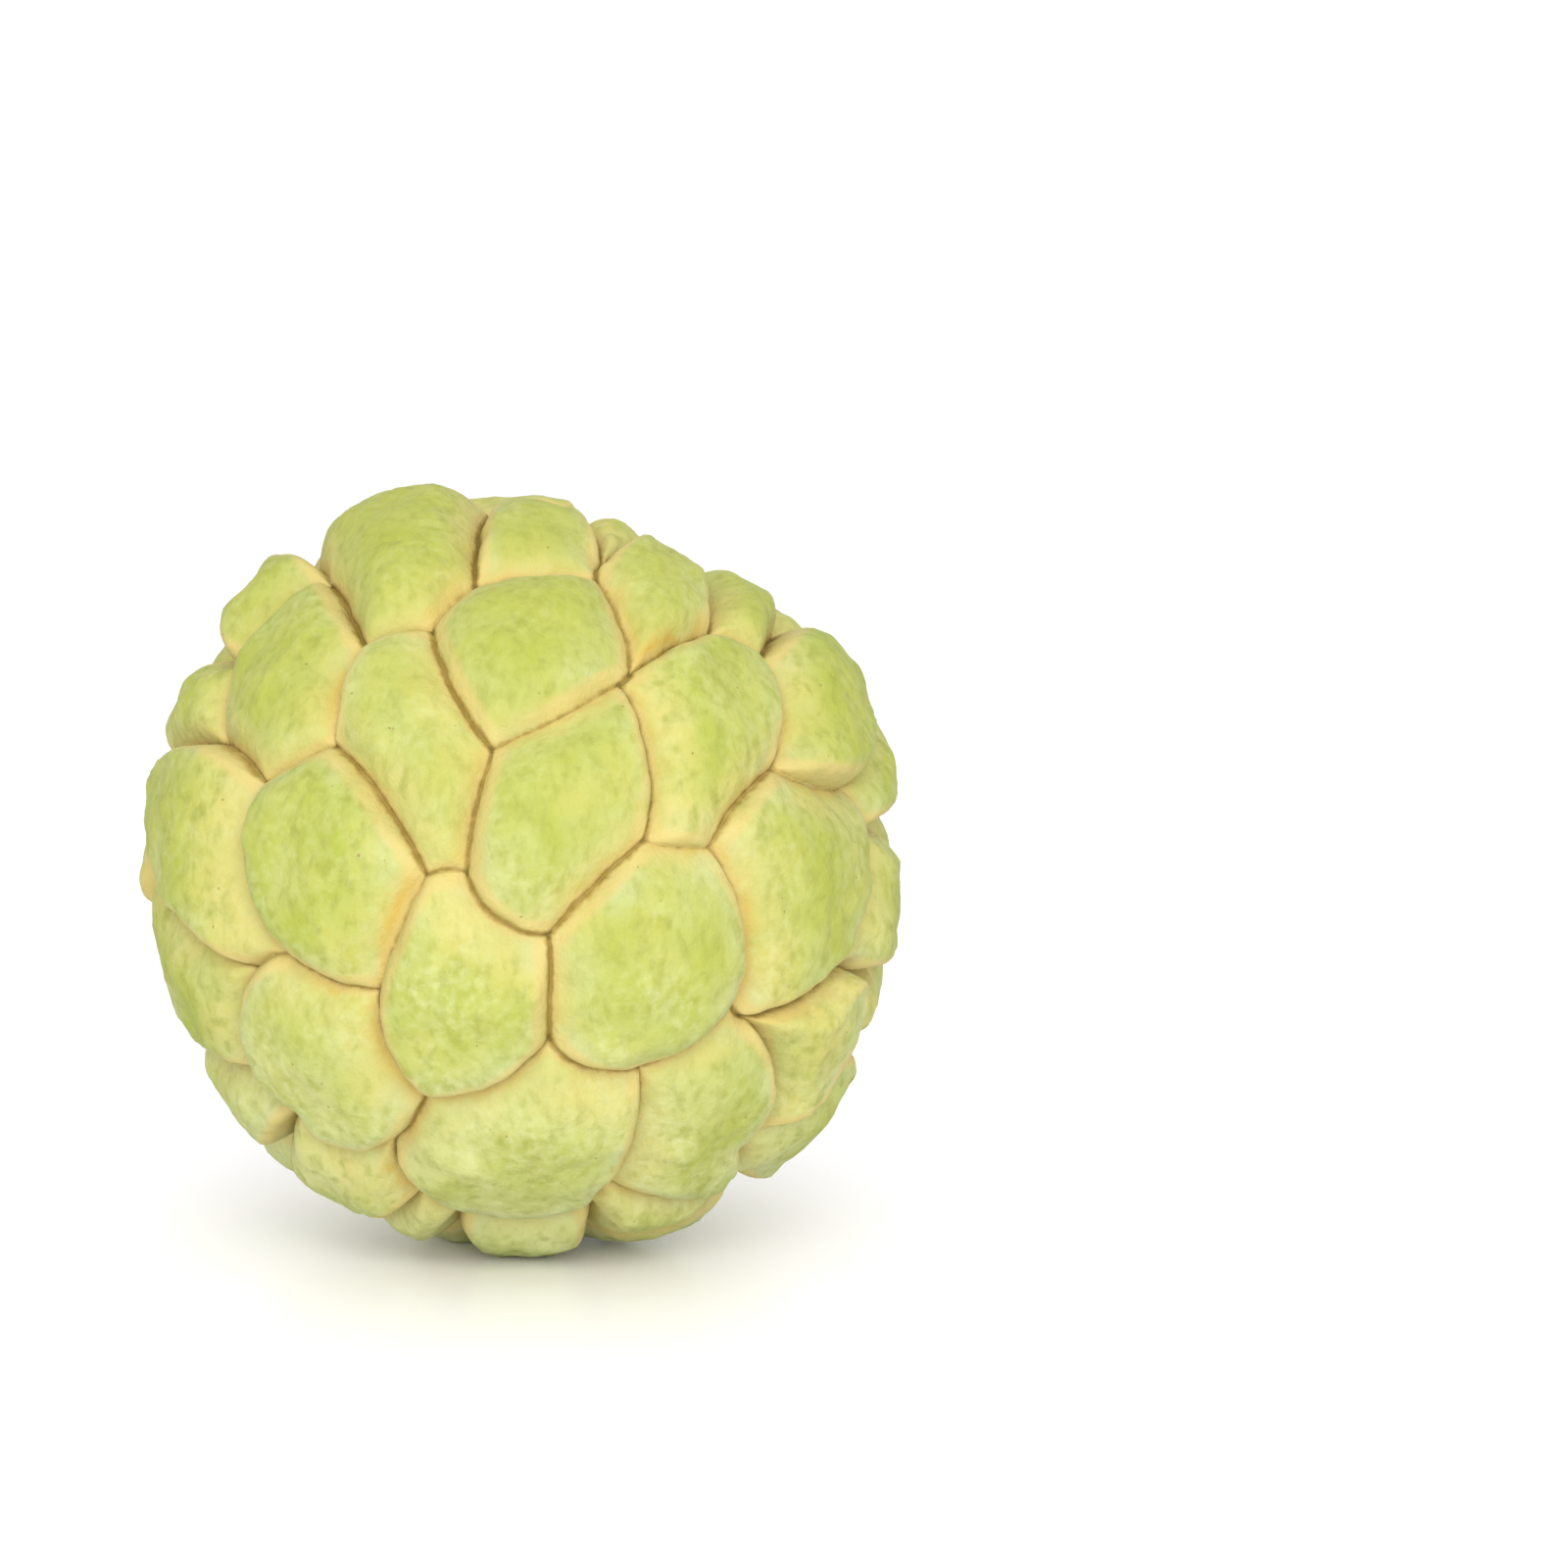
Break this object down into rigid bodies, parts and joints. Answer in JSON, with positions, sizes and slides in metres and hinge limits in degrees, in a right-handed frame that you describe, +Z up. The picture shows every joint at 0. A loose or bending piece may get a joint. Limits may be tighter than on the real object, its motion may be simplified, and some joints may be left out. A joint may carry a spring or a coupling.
{
  "type": "custard apple",
  "caption": "Round, knobbly custard apple covered in raised overlapping scales, resting on a small flat spot, with the woody stub of its stalk in a shallow hollow.",
  "frame": {"origin": "on the surface the fruit rests on, below the middle of its bounding box", "axes": "+Z up, as the fruit rests; -Y towards the front, the side with the large left-hand scale; +X to the right of someone facing the front; the stalk is up and behind"},
  "size_m": [0.0886, 0.0884, 0.0895],
  "materials": {
    "rind": "matt yellow-green rind with a pale bloom, cream to orange in the cracks",
    "stalk_wood": "dry, rough brown bark with a paler cut end"
  },
  "bodies": {
    "root": {"fruit": "rind", "stalk": "stalk_wood"}
  },
  "joints": []
}
